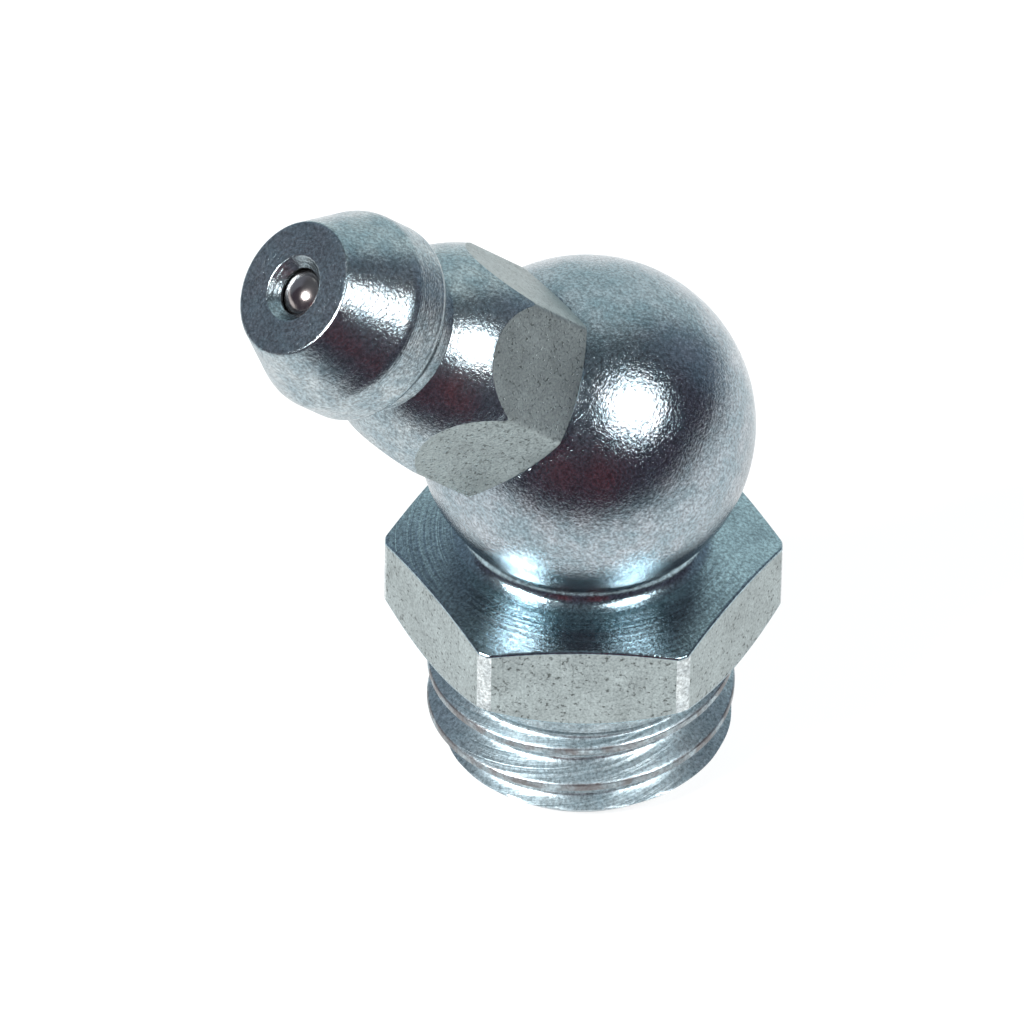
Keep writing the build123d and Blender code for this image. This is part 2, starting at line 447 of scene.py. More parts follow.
def centred_coordinates(tree, matrix):
    """Object coordinates seen from a turning axis, which becomes Z."""
    place = matrix.inverted()
    point = add_node(tree, "ShaderNodeTexCoord").outputs["Object"]
    centred = {"Vector": point, "Location": place.translation, "Rotation": place.to_euler()}
    return add_node(tree, "ShaderNodeMapping", centred).outputs["Vector"]


def distance_from_axis(tree, parts):
    """Distance from Z, of a point that is split into its parts."""
    level = add_node(tree, "ShaderNodeCombineXYZ", (parts["X"], parts["Y"]))
    return add_node(tree, "ShaderNodeVectorMath", (level,), operation="LENGTH").outputs["Value"]


def tint(tree, shader, tone, other, share, level):
    """Gives a finish the share of two tones, made darker or lighter by a level."""
    mixed = add_node(tree, "ShaderNodeMix", {0: share, 6: (*tone, 1), 7: (*other, 1)}, data_type="RGBA")
    toned = add_node(tree, "ShaderNodeVectorMath", {0: mixed.outputs[2], "Scale": level}, operation="SCALE")
    tree.links.new(toned.outputs[0], shader.inputs["Base Color"])


def turned_zinc(name, tone, film, roughness, matrix, line_width, line_depth, grain_depth, along_axis):
    """Bright zinc over turned steel: fine lines round the axis break up the reflections, and the
    grain of the plating makes them sparkle. A bluish film lies over it in clouds.

    Widths and depths are in millimetres. The larger along_axis is, the closer the lines lie on a
    wall, where on a face their distance stays the same."""
    material, tree, shader = new_finish(name, tone, roughness)
    point = centred_coordinates(tree, matrix)
    add = partial(add_node, tree)
    parts = add("ShaderNodeSeparateXYZ", (point,)).outputs
    # The lines follow radius and height together, so that they show on faces and on walls.
    wobble = add(NOISE, {"Vector": point, "Scale": feature(2.5), "Detail": 2.0})
    reach = add(MATHS, (parts["Z"], along_axis, distance_from_axis(tree, parts)), operation="MULTIPLY_ADD")
    reach = add(MATHS, (wobble, 0.05 * MM, reach), operation="MULTIPLY_ADD")
    lines = add(NOISE, {"W": reach, "Scale": feature(line_width), "Detail": 3.0, "Roughness": 0.65},
                noise_dimensions="1D")
    # The plating's grain is too fine to show, so it is drawn as coarse as it needs to show.
    grain = add(NOISE, {"Vector": point, "Scale": feature(0.1), "Detail": 3.0, "Roughness": 0.7})
    clouds = add(NOISE, {"Vector": point, "Scale": feature(0.9), "Detail": 5.0, "Roughness": 0.65})
    relief = add("ShaderNodeBump", {"Strength": 1.0, "Distance": line_depth * MM, "Height": lines})
    relief = add("ShaderNodeBump",
                 {"Strength": 1.0, "Distance": grain_depth * MM, "Height": grain, "Normal": relief})
    film_share = add(RANGE, {"Value": clouds, "From Min": 0.35, "From Max": 0.68})
    speck = add(RANGE, {"Value": grain, "From Min": 0.34, "From Max": 0.66, "To Min": 0.5, "To Max": 1.25})
    tint(tree, shader, tone, film, film_share, speck)
    gloss = add(RANGE, {"Value": clouds, "From Min": 0.3, "From Max": 0.7,
                        "To Min": roughness * 0.8, "To Max": roughness * 1.3})
    tree.links.new(gloss.outputs[0], shader.inputs["Roughness"])
    tree.links.new(relief.outputs[0], shader.inputs["Normal"])
    return material


def drawn_zinc(name, tone, pit_colour, roughness, pit_size, scratch_turn):
    """Zinc over drawn hexagon bar: matt, with small dark pits and a few long scratches."""
    material, tree, shader = new_finish(name, tone, roughness)
    add = partial(add_node, tree)
    point = add("ShaderNodeTexCoord").outputs["Object"]
    pits = add(NOISE, {"Vector": point, "Scale": feature(pit_size), "Detail": 2.0})
    clouds = add(NOISE, {"Vector": point, "Scale": feature(1.0), "Detail": 4.0, "Roughness": 0.6})
    # The plating's grain is too fine to show, so it is drawn as coarse as it needs to show.
    grain = add(NOISE, {"Vector": point, "Scale": feature(0.075), "Detail": 2.0, "Roughness": 0.6})
    stretched = add("ShaderNodeMapping",
                    {"Vector": point, "Rotation": scratch_turn, "Scale": (1.0, 1.0, 0.05)})
    scratches = add(NOISE, {"Vector": stretched, "Scale": feature(0.16), "Detail": 1.0})
    pit_depth = add(RANGE, {"Value": pits, "From Min": 0.58, "From Max": 0.72})
    gouge_depth = add(RANGE, {"Value": scratches, "From Min": 0.7, "From Max": 0.78, "To Max": 0.5})
    depth = add(MATHS, (pit_depth, gouge_depth), operation="MAXIMUM")
    light = add(RANGE, {"Value": clouds, "From Min": 0.3, "From Max": 0.7, "To Min": 0.85, "To Max": 1.12})
    speck = add(RANGE, {"Value": grain, "From Min": 0.32, "From Max": 0.68, "To Min": 0.75, "To Max": 1.2})
    level = add(MATHS, (light, speck), operation="MULTIPLY")
    tint(tree, shader, tone, pit_colour, depth, level)
    relief = add("ShaderNodeBump", {"Strength": 1.0, "Distance": 0.012 * MM, "Height": depth}, invert=True)
    relief = add("ShaderNodeBump",
                 {"Strength": 1.0, "Distance": 0.006 * MM, "Height": grain, "Normal": relief})
    tree.links.new(relief.outputs[0], shader.inputs["Normal"])
    return material


# Operators


class NIPPLE_OT_body(bpy.types.Operator):
    """Make the turned body: flange, neck, ball, bore and the seat for the head"""

    bl_idname = "nipple.body"
    bl_label = "Body"

    def execute(self, context):
        scene = context.scene
        sizes, head = scene.nipple_body, scene.nipple_head
        apothem = sizes.across_flats / 2
        top_fall, underside_fall = math.tan(sizes.top_slope), math.tan(sizes.underside_slope)
        # The neck groove's centre, its foot on the flange's cone and its edge on the ball
        centre = Vector((sizes.neck_radius + sizes.groove_radius, 0))
        centre.y = sizes.flange_height + (apothem - centre.x) * top_fall
        centre.y += sizes.groove_radius / math.cos(sizes.top_slope)
        to_ball = Vector((0, sizes.ball_height)) - centre
        reach = (sizes.groove_radius**2 - sizes.ball_radius**2 + to_ball.length**2) / (2 * to_ball.length)
        edge_turn = math.atan2(to_ball.y, to_ball.x) - math.acos(reach / sizes.groove_radius)
        foot_turn = -math.pi / 2 - sizes.top_slope
        edge = centre + Vector((math.cos(edge_turn), math.sin(edge_turn))) * sizes.groove_radius
        foot = centre + Vector((math.cos(foot_turn), math.sin(foot_turn))) * sizes.groove_radius
        ball_turn = math.atan2(edge.y - sizes.ball_height, edge.x)

        def outline(wall):
            inner = [
                (0, sizes.ball_height + sizes.drill_tip, 0, 0),
                (sizes.bore_radius, sizes.ball_height, 0, 0),
                (sizes.bore_radius, 0, 0, 0),
            ]
            low = (wall - sizes.washer_radius) * underside_fall
            high = sizes.flange_height + (apothem - wall) * top_fall
            flange = [
                (sizes.washer_radius, 0, sizes.edge_round, ROUND_STEPS),
                (wall, low, sizes.underside_round, ROUND_STEPS),
                (wall, high, sizes.edge_round, ROUND_STEPS),
            ]
            lower = rounded_outline([*inner, *flange, (*foot, 0, 0)])
            start = lower[-2]
            lower[-1:] = [start.lerp(foot, (k + 1) / CONE_STEPS) for k in range(CONE_STEPS)]
            neck = arc(centre, sizes.groove_radius, foot_turn, edge_turn - 2 * math.pi, NECK_STEPS)
            rim = (*edge, sizes.groove_edge_round, ROUND_STEPS)
            ball = arc((0, sizes.ball_height), sizes.ball_radius, ball_turn, math.pi / 2, BALL_STEPS)
            top = (0, sizes.ball_height + sizes.ball_radius, 0, 0)
            upper = rounded_outline([(*foot, 0, 0), *neck, rim, *ball, top])
            return lower + upper[1:]

        # The bore has 3 points and the flange 3 rounded corners. The flat lies between the last
        # two, and the ball starts halfway round the groove's edge.
        flat_start = 3 + 2 * ROUND_POINTS - 1
        ball_start = 3 + 3 * ROUND_POINTS + CONE_STEPS + NECK_STEPS + ROUND_STEPS // 2

        def bands(row, column):
            if row >= ball_start:
                return BALL
            if not flat_start <= row < flat_start + 2:
                return TURNED
            # Corner columns on the flat rows take the finish with the painted highlight.
            on_corner = column % (FLAT_COLUMNS + CORNER_COLUMNS) > FLAT_COLUMNS
            return CORNER if on_corner else FLAT

        columns = hexagon_columns(0, apothem, sizes.corner_radius, sizes.corner_blend)
        materials = self.finishes(scene.nipple_finish, head)
        mesh = turned_mesh("body_shell", columns, outline, Matrix(), bands, closed=False,
                           materials_used=materials)
        mesh = self.cut_seat(mesh, head, materials[TURNED])
        add_piece("body_shell", mesh, "nipple", "elbow_body")
        return {"FINISHED"}

    def finishes(self, finish, head):
        """Materials of the body, in the order TURNED, FLAT, BALL, CORNER."""
        return [
            # Zinc over turned steel on the cone and in the neck: glossy, with rings and a blue film.
            turned_zinc("zinc_plate_on_turned_steel", finish.flange, finish.turned_dark, roughness=0.16,
                        matrix=Matrix(), line_width=0.12, line_depth=0.015, grain_depth=0.008,
                        along_axis=0.35),
            # Zinc over drawn bar on the flats: pale, matt and pitted.
            drawn_zinc("zinc_plate_on_drawn_hexagon", finish.flat, finish.pit, roughness=0.42,
                       pit_size=0.13, scratch_turn=(0.9, 0.5, 0)),
            # Zinc over the form-turned ball: the glossiest part, with a sparkling grain.
            turned_zinc("zinc_plate_on_turned_ball", finish.ball, finish.turned_dark, roughness=0.15,
                        matrix=head_matrix(head, 0), line_width=0.2, line_depth=0.008,
                        grain_depth=0.017, along_axis=0.6),
            # Zinc over the turned corners with a painted highlight: painted whiter than the flats beside
            # them.
            turned_zinc("zinc_plate_on_corner_with_painted_highlight", finish.corner, finish.turned, roughness=0.34,
                        matrix=Matrix(), line_width=0.12, line_depth=0.004, grain_depth=0.006,
                        along_axis=1.0),
        ]

    def cut_seat(self, mesh, head, material):
        """Cuts the spot face, the socket and the grease passage for the head."""
        turns = [(2 * math.pi * k / CUTTER_COLUMNS, 0) for k in range(CUTTER_COLUMNS)]
        reach = 2 * bpy.context.scene.nipple_body.ball_radius
        outline = [
            (0, -head.passage_radius),
            (head.passage_radius, -head.passage_radius),
            (head.passage_radius, head.socket_floor),
            (head.socket_radius, head.socket_floor),
            (head.socket_radius, head.seat_distance),
            (reach / 2, head.seat_distance),
            (reach / 2, reach),
            (0, reach),
        ]
        outline = [Vector(point) for point in outline]
        tool_mesh = turned_mesh("seat_cutter", turns, lambda wall: outline, head_matrix(head, 0),
                                lambda row, column: 0, closed=False, materials_used=[material])
        blank = bpy.data.objects.new("blank", mesh)
        tool = bpy.data.objects.new("tool", tool_mesh)
        for item in (blank, tool):
            bpy.context.scene.collection.objects.link(item)
        cut = blank.modifiers.new("seat", "BOOLEAN")
        cut.operation, cut.solver, cut.object = "DIFFERENCE", "EXACT", tool
        graph = bpy.context.evaluated_depsgraph_get()
        result = bpy.data.meshes.new_from_object(blank.evaluated_get(graph), depsgraph=graph)
        for item in (blank, tool):
            bpy.data.objects.remove(item)
        result.name = "body_shell"
        return result


class NIPPLE_OT_thread(bpy.types.Operator):
    """Make the stub with its rolled thread, which runs out below the seat face"""

    bl_idname = "nipple.thread"
    bl_label = "Threaded stub"

    def execute(self, context):
        scene = context.scene
        sizes, finish = scene.nipple_thread, scene.nipple_finish
        # Zinc over a rolled thread: smooth flanks, streaked along the thread.
        material = turned_zinc("zinc_plate_on_rolled_thread", finish.thread, finish.turned_dark,
                               roughness=0.35, matrix=Matrix(), line_width=0.07, line_depth=0.014,
                               grain_depth=0.004, along_axis=1.0)
        # The crests get a painted reflection, a warm line in patches.
        self.paint_crest_reflection(material.node_tree, sizes.crest_radius, finish.crest)
        rows = math.ceil((sizes.length + sizes.pitch) / sizes.pitch * sizes.rows_per_turn)
        values = {
            "Length": sizes.length,
            "Pitch": sizes.pitch,
            "Crest radius": sizes.crest_radius,
            "Crest flat": sizes.crest_flat,
            "Crest round": sizes.crest_round,
            "Depth": sizes.depth,
            "Root round": sizes.root_round,
            "Shank radius": sizes.shank_radius,
            "End chamfer": sizes.end_chamfer,
            "End round": sizes.end_round,
            "Crest start": sizes.crest_height - sizes.pitch * sizes.start_angle / (2 * math.pi),
            "Groove full": sizes.groove_full,
            "Groove end": sizes.groove_end,
            "Crest full": sizes.crest_full,
            "Crest end": sizes.crest_end,
            "Strip height": rows * sizes.pitch / sizes.rows_per_turn,
        }
        counts = {"Columns": sizes.columns + 1, "Rows": rows + 1}
        tree = new_shape_tree("rolled_thread", values, counts)
        self.bend_strip(tree, material)
        mesh = make_with_tree("stub_thread", tree, {**values, **counts})
        self.close_bore(mesh, sizes, scene.nipple_body.bore_radius)
        add_piece("stub_thread", mesh, "nipple", "elbow_body")
        return {"FINISHED"}

    def bend_strip(self, tree, material):
        """Bends a flat strip into the thread.

        The strip's X is the angle and its Y the height along the helix, so each row of faces
        follows the thread. Heights past the ends are held at the ends, and merge there."""
        add = partial(add_node, tree)
        given = add("NodeGroupInput").outputs
        strip = add("GeometryNodeMeshGrid", {"Size X": 2 * math.pi, "Size Y": given["Strip height"],
                                             "Vertices X": given["Columns"], "Vertices Y": given["Rows"]})
        place = add("GeometryNodeInputPosition")
        place = add("ShaderNodeSeparateXYZ", (place,)).outputs
        turn = add(MATHS, (place["X"], math.pi), operation="ADD")
        along = add(MATHS, (given["Strip height"], -0.5, place["Y"]), operation="MULTIPLY_ADD")

        # The height at which the helix has arrived here
        rise = add(MATHS, (turn, 2 * math.pi), operation="DIVIDE")
        rise = add(MATHS, (rise, given["Pitch"]), operation="MULTIPLY")
        bottom = add(MATHS, (given["Length"], -1.0), operation="MULTIPLY")
        height = add(MATHS, (along, rise), operation="ADD")
        height = add(MATHS, (height, bottom), operation="MAXIMUM")
        height = add(MATHS, (height, 0.0), operation="MINIMUM")

        # The profile falls from the crest's flat, by the square root of 3 on a 60 degree thread.
        half_pitch = add(MATHS, (given["Pitch"], 0.5), operation="MULTIPLY")
        half_flat = add(MATHS, (given["Crest flat"], 0.5), operation="MULTIPLY")
        from_crest = add(MATHS, (along, given["Crest start"]), operation="SUBTRACT")
        from_crest = add(MATHS, (from_crest, half_pitch), operation="PINGPONG")
        fall = add(MATHS, (from_crest, half_flat), operation="SUBTRACT")
        fall = add(MATHS, (fall, math.sqrt(3)), operation="MULTIPLY")
        fall = add(MATHS, (fall, 0.0, given["Crest round"]), operation="SMOOTH_MAX")
        fall = add(MATHS, (fall, given["Depth"], given["Root round"]), operation="SMOOTH_MIN")
        profile = add(MATHS, (given["Crest radius"], fall), operation="SUBTRACT")

        # Rolling raises the crests above the shank and sinks the roots. Each runs out by itself.
        radius = shank = given["Shank radius"]
        for upper, lower, full, run_out, operation in (
            (profile, shank, given["Crest full"], given["Crest end"], "ADD"),
            (shank, profile, given["Groove full"], given["Groove end"], "SUBTRACT"),
        ):
            share = add(RANGE, {"Value": height, "To Min": 1.0, "To Max": 0.0,
                                "From Min": full, "From Max": run_out}, interpolation_type="SMOOTHSTEP")
            moved = add(MATHS, (upper, lower), operation="SUBTRACT")
            moved = add(MATHS, (moved, 0.0), operation="MAXIMUM")
            moved = add(MATHS, (moved, share), operation="MULTIPLY")
            radius = add(MATHS, (radius, moved), operation=operation)

        # The chamfer at the stub's end cuts the thread off.
        above_end = add(MATHS, (height, bottom), operation="SUBTRACT")
        chamfer = add(MATHS, (given["Crest radius"], given["End chamfer"]), operation="SUBTRACT")
        chamfer = add(MATHS, (chamfer, above_end), operation="ADD")
        radius = add(MATHS, (radius, chamfer, given["End round"]), operation="SMOOTH_MIN")

        spot = around_axis(tree, turn, radius, height)
        bent = add("GeometryNodeSetPosition", {"Geometry": strip, "Position": spot})
        welded = add("GeometryNodeMergeByDistance", {"Geometry": bent, "Distance": 0.001 * MM})
        end_tree(tree, welded, material)

    def paint_crest_reflection(self, tree, crest_radius, tone):
        """Paints a darker, warm reflection on the crests in patches, which shows as a thin warm line."""
        plated = tree.nodes["Principled BSDF"].inputs["Base Color"]
        add = partial(add_node, tree)
        point = add("ShaderNodeTexCoord").outputs["Object"]
        parts = add("ShaderNodeSeparateXYZ", (point,)).outputs
        on_crest = add(RANGE, {"Value": distance_from_axis(tree, parts),
                               "From Min": crest_radius - 0.06 * MM, "From Max": crest_radius - 0.035 * MM})
        patches = add(NOISE, {"Vector": point, "Scale": feature(0.7), "Detail": 3.0})
        patches = add(RANGE, {"Value": patches, "From Min": 0.38, "From Max": 0.6, "To Max": 0.75})
        reflection_share = add(MATHS, (on_crest, patches), operation="MULTIPLY")
        mixed = add("ShaderNodeMix", {0: reflection_share, 6: plated.links[0].from_socket, 7: (*tone, 1)},
                    data_type="RGBA")
        tree.links.new(mixed.outputs[2], plated)

    def close_bore(self, mesh, sizes, bore_radius):
        """Adds the end face, the bore and the face against the flange."""
        work = bmesh.new()
        work.from_mesh(mesh)
        rim = [edge for edge in work.edges if edge.is_boundary]
        for radius, lift in ((bore_radius + sizes.bore_chamfer, 0), (bore_radius, sizes.bore_chamfer)):
            grown = bmesh.ops.extrude_edge_only(work, edges=rim)["geom"]
            for vertex in [item for item in grown if isinstance(item, bmesh.types.BMVert)]:
                out = Vector((vertex.co.x, vertex.co.y, 0)).normalized() * radius
                at_end = vertex.co.z < -sizes.length / 2
                vertex.co = Vector((out.x, out.y, vertex.co.z + (lift if at_end else 0)))
            rim = [item for item in grown if isinstance(item, bmesh.types.BMEdge) and item.is_boundary]
        bmesh.ops.bridge_loops(work, edges=rim)
        bmesh.ops.remove_doubles(work, verts=work.verts, dist=1e-8)
        bmesh.ops.recalc_face_normals(work, faces=work.faces)
        work.to_mesh(mesh)
        work.free()


class NIPPLE_OT_head(bpy.types.Operator):
    """Make the head: hexagon, bulging shoulder, grip neck, band, cone and valve bore"""

    bl_idname = "nipple.head"
    bl_label = "Head"

    def execute(self, context):
        scene = context.scene
        sizes, finish = scene.nipple_head, scene.nipple_finish
        apothem = sizes.across_flats / 2
        corner = apothem / math.cos(math.radians(30))
        chamfer_fall = math.tan(sizes.chamfer_slope)
        # The shoulder's arc runs from the hexagon's corners to the neck.
        foot = Vector((corner, sizes.hexagon_length))
        top = Vector((sizes.neck_radius, sizes.shoulder_end))
        chord = top - foot
        inward = Vector((-chord.y, chord.x)).normalized()
        centre = (foot + top) / 2 + inward * math.sqrt(sizes.shoulder_radius**2 - chord.length_squared / 4)
        last = math.atan2(top.y - centre.y, top.x - centre.x)
        spigot_end = -sizes.spigot_length

        def outline(wall):
            on_arc = centre.y + math.sqrt(sizes.shoulder_radius**2 - (wall - centre.x)**2)
            first = math.atan2(on_arc - centre.y, wall - centre.x)
            chamfer_top = (wall - sizes.chamfer_radius) * chamfer_fall + sizes.chamfer_lift
            return rounded_outline([
                (sizes.valve_bore_radius, sizes.seat_foot, 0, 0),
                (sizes.valve_bore_radius, spigot_end, 0, 0),
                (sizes.spigot_radius - sizes.spigot_chamfer, spigot_end, 0, 0),
                (sizes.spigot_radius, spigot_end + sizes.spigot_chamfer, 0, 0),
                (sizes.spigot_radius, 0, 0, 0),
                (sizes.chamfer_radius, 0, 0, 0),
                (wall, chamfer_top, sizes.seat_corner_round, FINE_STEPS),
                (wall, on_arc, sizes.flat_corner_round, FINE_STEPS),
                *arc(centre, sizes.shoulder_radius, first, last, SHOULDER_STEPS),
                (sizes.neck_radius, sizes.shoulder_end, sizes.shoulder_round, FINE_STEPS),
                (sizes.neck_radius, sizes.flank_start, sizes.neck_round, GRIP_STEPS),
                (sizes.band_radius, sizes.band_start, sizes.flank_round, GRIP_STEPS),
                (sizes.band_radius, sizes.band_end, sizes.band_round, BAND_STEPS),
                (sizes.face_radius, sizes.face_height, sizes.face_round, FACE_STEPS),
                (sizes.countersink_radius, sizes.face_height, sizes.countersink_round, ROUND_STEPS),
                (sizes.orifice_radius, sizes.land_top, sizes.orifice_round, FINE_STEPS),
                (sizes.orifice_radius, sizes.land_foot, 0, 0),
            ])

        # The spigot and the seat face have 6 points, and the flat starts halfway round the next.
        flat_start = 6 + FINE_STEPS
        flat_rows = FINE_STEPS + 2

        def bands(row, column):
            return FLAT if flat_start <= row < flat_start + flat_rows else TURNED

        columns = hexagon_columns(sizes.turn, apothem, corner - sizes.blank_clip, sizes.corner_blend)
        materials = [
            # Zinc over a turned head: bright, with rings on the cone and a sparkling face.
            turned_zinc("zinc_plate_on_turned_head", finish.turned, finish.turned_dark, roughness=0.22,
                        matrix=head_matrix(sizes, 0), line_width=0.11, line_depth=0.011,
                        grain_depth=0.014, along_axis=0.7),
            # Zinc over the drawn bar that the head is turned from: greyer and matt.
            drawn_zinc("zinc_plate_on_head_hexagon", finish.head_flat, finish.pit, roughness=0.4,
                       pit_size=0.11, scratch_turn=(0, -sizes.lean, 0)),
        ]
        place = head_matrix(sizes, sizes.seat_distance)
        mesh = turned_mesh("head_shell", columns, outline, place, bands, closed=True,
                           materials_used=materials)
        add_piece("head_shell", mesh, "nipple", "nipple_head")
        return {"FINISHED"}


class NIPPLE_OT_check_ball(bpy.types.Operator):
    """Make the check ball that closes the head's orifice"""

    bl_idname = "nipple.check_ball"
    bl_label = "Check ball"

    def execute(self, context):
        scene = context.scene
        sizes = scene.nipple_valve
        columns = CHECK_BALL_COLUMNS
        turns = [(2 * math.pi * k / columns, 0) for k in range(columns)]
        curve = arc((0, 0), sizes.ball_radius, -math.pi / 2, math.pi / 2, columns // 2)
        outline = [Vector((0, -sizes.ball_radius))]
        outline += [Vector(point[:2]) for point in curve]
        outline += [Vector((0, sizes.ball_radius))]
        # Lapped bearing steel: a mirror with a faint haze from handling.
        tone = scene.nipple_finish.chrome_steel
        material, tree, shader = new_finish("lapped_bearing_steel", tone, roughness=0.16)
        point = add_node(tree, "ShaderNodeTexCoord").outputs["Object"]
        haze = add_node(tree, NOISE, {"Vector": point, "Scale": feature(0.5), "Detail": 3.0})
        gloss = add_node(tree, RANGE,
                         {"Value": haze, "From Min": 0.3, "From Max": 0.7, "To Min": 0.1, "To Max": 0.24})
        tree.links.new(gloss.outputs[0], shader.inputs["Roughness"])
        place = head_matrix(scene.nipple_head, sizes.ball_distance)
        mesh = turned_mesh("check_ball_shell", turns, lambda wall: outline, place,
                           lambda row, column: 0, closed=False, materials_used=[material])
        add_piece("check_ball_shell", mesh, "valve_ball", "check_ball")
        return {"FINISHED"}


class NIPPLE_OT_spring(bpy.types.Operator):
    """Make the closed-end spring behind the check ball"""

    bl_idname = "nipple.spring"
    bl_label = "Valve spring"

    def execute(self, context):
        scene = context.scene
        sizes, head = scene.nipple_valve, scene.nipple_head
        # Patented spring wire: grey, with fine draw marks along it.
        tone = scene.nipple_finish.spring_steel
        material, tree, shader = new_finish("drawn_spring_wire", tone, roughness=0.34)
        point = add_node(tree, "ShaderNodeTexCoord").outputs["Object"]
        marks = add_node(tree, NOISE, {"Vector": point, "Scale": feature(0.12), "Detail": 3.0})
        relief = add_node(tree, "ShaderNodeBump", {"Strength": 1.0, "Distance": 0.004 * MM, "Height": marks})
        tree.links.new(relief.outputs[0], shader.inputs["Normal"])
        span = sizes.high - sizes.low
        values = {
            "Coil radius": sizes.coil_radius,
            "Wire radius": sizes.wire_radius,
            "Foot": sizes.low,
            "Active rise": span - 2 * sizes.end_rise * sizes.end_turns,
            "End rise": sizes.end_rise,
        }
        counts = {"Active turns": sizes.active_turns, "End turns": sizes.end_turns}
        rule = new_shape_tree("closed_end_spring", values, counts)
        self.wind_wire(rule, material)
        mesh = make_with_tree("spring_coils", rule, {**values, **counts})
        mesh.transform(head_matrix(head, 0))
        piece = add_piece("spring_coils", mesh, "nipple", "valve_spring")
        foot = head_matrix(head, sizes.low - sizes.wire_radius).translation
        tuple(foot)
        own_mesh(piece)
        return {"FINISHED"}

    def wind_wire(self, tree, material):
        """Winds a wire with closed end turns about Z."""
        steps_per_turn = 40.0
        add = partial(add_node, tree)
        given = add("NodeGroupInput").outputs
        turns = add(MATHS, (given["End turns"], 2.0, given["Active turns"]), operation="MULTIPLY_ADD")
        count = add(MATHS, (turns, steps_per_turn, 1.0), operation="MULTIPLY_ADD")
        line = add("GeometryNodeMeshLine", {"Count": count})
        index = add("GeometryNodeInputIndex")
        turn = add(MATHS, (index, steps_per_turn), operation="DIVIDE")

        # The closed turns rise by little more than the wire, and the open ones share the rest.
        active = add(MATHS, (turn, given["End turns"]), operation="SUBTRACT")
        active = add(MATHS, (active, 0.0), operation="MAXIMUM")
        active = add(MATHS, (active, given["Active turns"]), operation="MINIMUM")
        closed_rise = add(MATHS, (turn, active), operation="SUBTRACT")
        closed_rise = add(MATHS, (closed_rise, given["End rise"]), operation="MULTIPLY")
        open_rise = add(MATHS, (active, given["Active turns"]), operation="DIVIDE")
        open_rise = add(MATHS, (open_rise, given["Active rise"]), operation="MULTIPLY")
        height = add(MATHS, (closed_rise, open_rise), operation="ADD")
        height = add(MATHS, (height, given["Foot"]), operation="ADD")

        swing = add(MATHS, (turn, 2 * math.pi), operation="MULTIPLY")
        spot = around_axis(tree, swing, given["Coil radius"], height)
        wound = add("GeometryNodeSetPosition", {"Geometry": line, "Position": spot})
        path = add("GeometryNodeMeshToCurve", {"Mesh": wound})
        circle = add("GeometryNodeCurvePrimitiveCircle", {"Resolution": 14, "Radius": given["Wire radius"]})
        wire = add("GeometryNodeCurveToMesh", {"Curve": path, "Profile Curve": circle, "Fill Caps": True})
        end_tree(tree, wire, material)


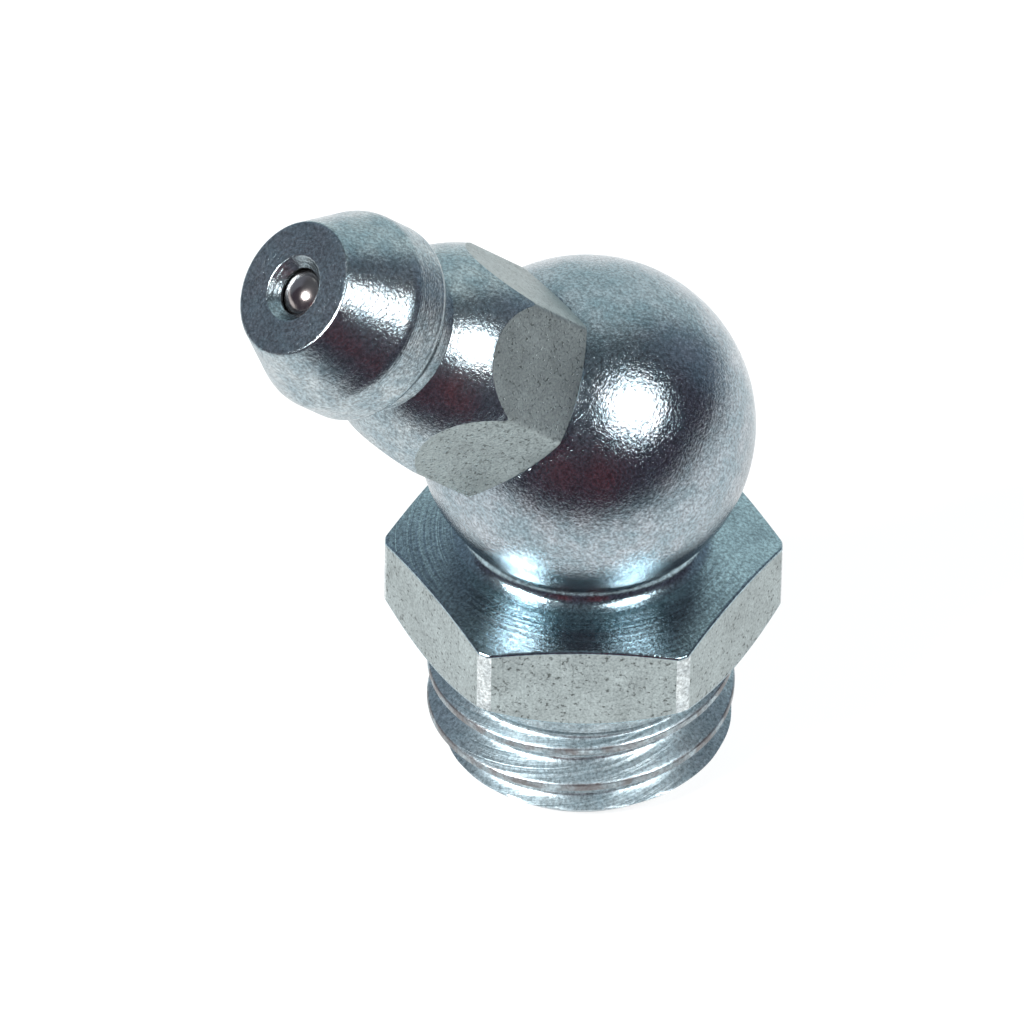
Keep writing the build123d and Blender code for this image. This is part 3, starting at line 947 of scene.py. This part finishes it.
class NIPPLE_OT_stage(bpy.types.Operator):
    """Make the floor, the room, the lamps and the camera"""

    bl_idname = "nipple.stage"
    bl_label = "Stage"

    # The camera's axes and place in the row frame, fitted to the photographed edges.
    CAMERA_PLACE = (0.169555, 0.285345, 0.291435)
    CAMERA_RIGHT = (-0.868606, 0.49534, 0.012751)
    CAMERA_UP = (-0.315834, -0.573294, 0.756031)

    def execute(self, context):
        scene = context.scene
        studio = scene.nipple_studio
        front = Vector((math.cos(studio.front_turn), math.sin(studio.front_turn), 0))
        self.add_card(scene, studio, front)
        self.add_room(scene, studio, front)
        self.add_lamp(scene, studio, "key_lamp", studio.key_turn, studio.key_rise, studio.key_power)
        self.add_lamp(scene, studio, "left_lamp", studio.left_turn, studio.left_rise, studio.left_power)
        self.add_camera(scene, studio)
        scene.view_settings.view_transform = "Standard"
        return {"FINISHED"}

    def add_card(self, scene, studio, front):
        """White card that ends a little in front of the object, as the ball's reflection shows."""
        side = UP.cross(front)
        low = UP * -scene.nipple_thread.length
        near, far = front * studio.card_front, front * -studio.card_side
        corners = [near - side * studio.card_side, near + side * studio.card_side]
        corners += [far + side * studio.card_side, far - side * studio.card_side]
        mesh = bpy.data.meshes.new("card")
        mesh.from_pydata([corner + low for corner in corners], [], [(0, 1, 2, 3)])
        card = bpy.data.objects.new("card", mesh)
        scene.collection.objects.link(card)
        # Matt white card: it stays white to the camera and in reflections, and keeps a soft shadow.
        material, tree, shader = new_finish("matt_white_card", studio.card, roughness=0.9, metallic=0.0)
        add = partial(add_node, tree)
        light = add("ShaderNodeLightPath").outputs
        seen = add(MATHS, (light["Is Camera Ray"], light["Is Glossy Ray"]), operation="MAXIMUM")
        seen = add(MATHS, (seen, light["Is Transmission Ray"]), operation="MAXIMUM")
        glow = add(MATHS, (seen, studio.card_glow), operation="MULTIPLY")
        shader.inputs["Emission Color"].default_value = (1, 1, 1, 1)
        tree.links.new(glow.outputs[0], shader.inputs["Emission Strength"])
        # From below, the card lets the camera through to the stub's bore.
        below = add("ShaderNodeNewGeometry").outputs["Backfacing"]
        clear = add("ShaderNodeBsdfTransparent")
        one_sided = add("ShaderNodeMixShader", (below, shader, clear))
        tree.links.new(one_sided.outputs[0], tree.nodes["Material Output"].inputs["Surface"])
        mesh.materials.append(material)

    def add_room(self, scene, studio, front):
        """Room as the ball reflects it: dim in front, greyer above, with a pale wall behind."""
        world = bpy.data.worlds.new("studio_room")
        scene.world = world
        world.use_nodes = True
        tree = world.node_tree
        add = partial(add_node, tree)
        direction = add("ShaderNodeTexCoord").outputs["Generated"]
        reach = []
        for axis in (front, -front, UP.cross(front), UP):
            toward = add("ShaderNodeVectorMath", (direction, axis), operation="DOT_PRODUCT")
            reach.append(toward.outputs["Value"])
        ahead, behind, across, height = reach
        ahead = add(MATHS, (ahead, 0.001), operation="MAXIMUM")
        behind = add(MATHS, (behind, 0.001), operation="MAXIMUM")
        # Tangents of the angles, as on a flat picture of what is ahead or behind
        across_ahead = add(MATHS, (across, ahead), operation="DIVIDE")
        across_behind = add(MATHS, (across, behind), operation="DIVIDE")
        height_behind = add(MATHS, (height, behind), operation="DIVIDE")
        either_side = add(MATHS, (across_behind,), operation="ABSOLUTE")
        board_heights = ((height, 0.5, 0.3), (height, -0.25, -0.1))
        # Each patch lies over the ones before it. An edge is 0 at its first value and 1 at its second.
        patches = (
            (studio.ceiling, ((height, 0.4, 0.98),)),
            (studio.boards, ((across_ahead, -0.42, -0.34), (across_ahead, -0.2, -0.28), *board_heights)),
            (studio.boards, ((across_ahead, 0.08, 0.16), (across_ahead, 0.32, 0.24), *board_heights)),
            (studio.side_wall, ((either_side, 0.3, 0.5), (either_side, 4.4, 3.0),
                                (height, 0.8, 0.6), (height, -0.12, -0.02))),
            (studio.backdrop, ((across_behind, 1.0, 0.86), (across_behind, -0.5, -0.3),
                               (height_behind, 4.2, 3.2))),
        )
        tone = (*studio.dusk, 1)
        for patch, edges in patches:
            share = 1.0
            for value, start, end in edges:
                edge = add(RANGE, {"Value": value, "From Min": start, "From Max": end},
                           interpolation_type="SMOOTHSTEP")
                share = add(MATHS, (share, edge), operation="MULTIPLY")
            mixed = add("ShaderNodeMix", {0: share, 6: tone, 7: (*patch, 1)}, data_type="RGBA")
            tone = mixed.outputs[2]
        tree.links.new(tone, tree.nodes["Background"].inputs["Color"])

    def add_lamp(self, scene, studio, name, turn, rise, power):
        lamp = bpy.data.lights.new(name, "AREA")
        lamp.shape, lamp.size, lamp.energy = "DISK", studio.lamp_size, power
        holder = bpy.data.objects.new(name, lamp)
        turn += studio.front_turn
        level = Vector((math.cos(turn), math.sin(turn), 0))
        direction = level * math.cos(rise) + UP * math.sin(rise)
        holder.location = UP * scene.nipple_body.ball_height + direction * studio.lamp_distance
        holder.rotation_euler = direction.to_track_quat("Z", "Y").to_euler()
        scene.collection.objects.link(holder)

    def add_camera(self, scene, studio):
        camera = bpy.data.cameras.new("camera")
        camera.lens, camera.sensor_width = studio.lens, studio.sensor
        camera.clip_start, camera.clip_end = 0.01, 10
        holder = bpy.data.objects.new("camera", camera)
        right, up = Vector(self.CAMERA_RIGHT), Vector(self.CAMERA_UP)
        matrix = Matrix((right, up, right.cross(up))).transposed().to_4x4()
        matrix.translation = Vector(self.CAMERA_PLACE)
        holder.matrix_world = matrix
        scene.collection.objects.link(holder)
        scene.camera = holder


class NIPPLE_PT_panel(bpy.types.Panel):
    """Lists the steps that make the grease nipple"""

    bl_idname = "NIPPLE_PT_panel"
    bl_label = "Grease nipple"
    bl_space_type = "VIEW_3D"
    bl_region_type = "UI"
    bl_category = "Grease nipple"

    def draw(self, context):
        for operator in OPERATORS:
            self.layout.operator(operator.bl_idname)


GROUPS = {
    "nipple_body": BodySizes,
    "nipple_thread": ThreadSizes,
    "nipple_head": HeadSizes,
    "nipple_valve": ValveSizes,
    "nipple_finish": Finish,
    "nipple_studio": Studio,
}
OPERATORS = (
    NIPPLE_OT_body,
    NIPPLE_OT_thread,
    NIPPLE_OT_head,
    NIPPLE_OT_check_ball,
    NIPPLE_OT_spring,
    NIPPLE_OT_stage,
)


def register():
    for name, group in GROUPS.items():
        bpy.utils.register_class(group)
        setattr(bpy.types.Scene, name, PointerProperty(type=group))
    for item in (*OPERATORS, NIPPLE_PT_panel):
        bpy.utils.register_class(item)


def unregister():
    for item in (NIPPLE_PT_panel, *reversed(OPERATORS)):
        bpy.utils.unregister_class(item)
    for name, group in GROUPS.items():
        delattr(bpy.types.Scene, name)
        bpy.utils.unregister_class(group)


def main():
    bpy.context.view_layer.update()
    register()
    bpy.ops.nipple.body()
    bpy.ops.nipple.thread()
    bpy.ops.nipple.head()
    bpy.ops.nipple.check_ball()
    bpy.ops.nipple.spring()
    bpy.ops.nipple.stage()


if __name__ == "__main__":
    main()
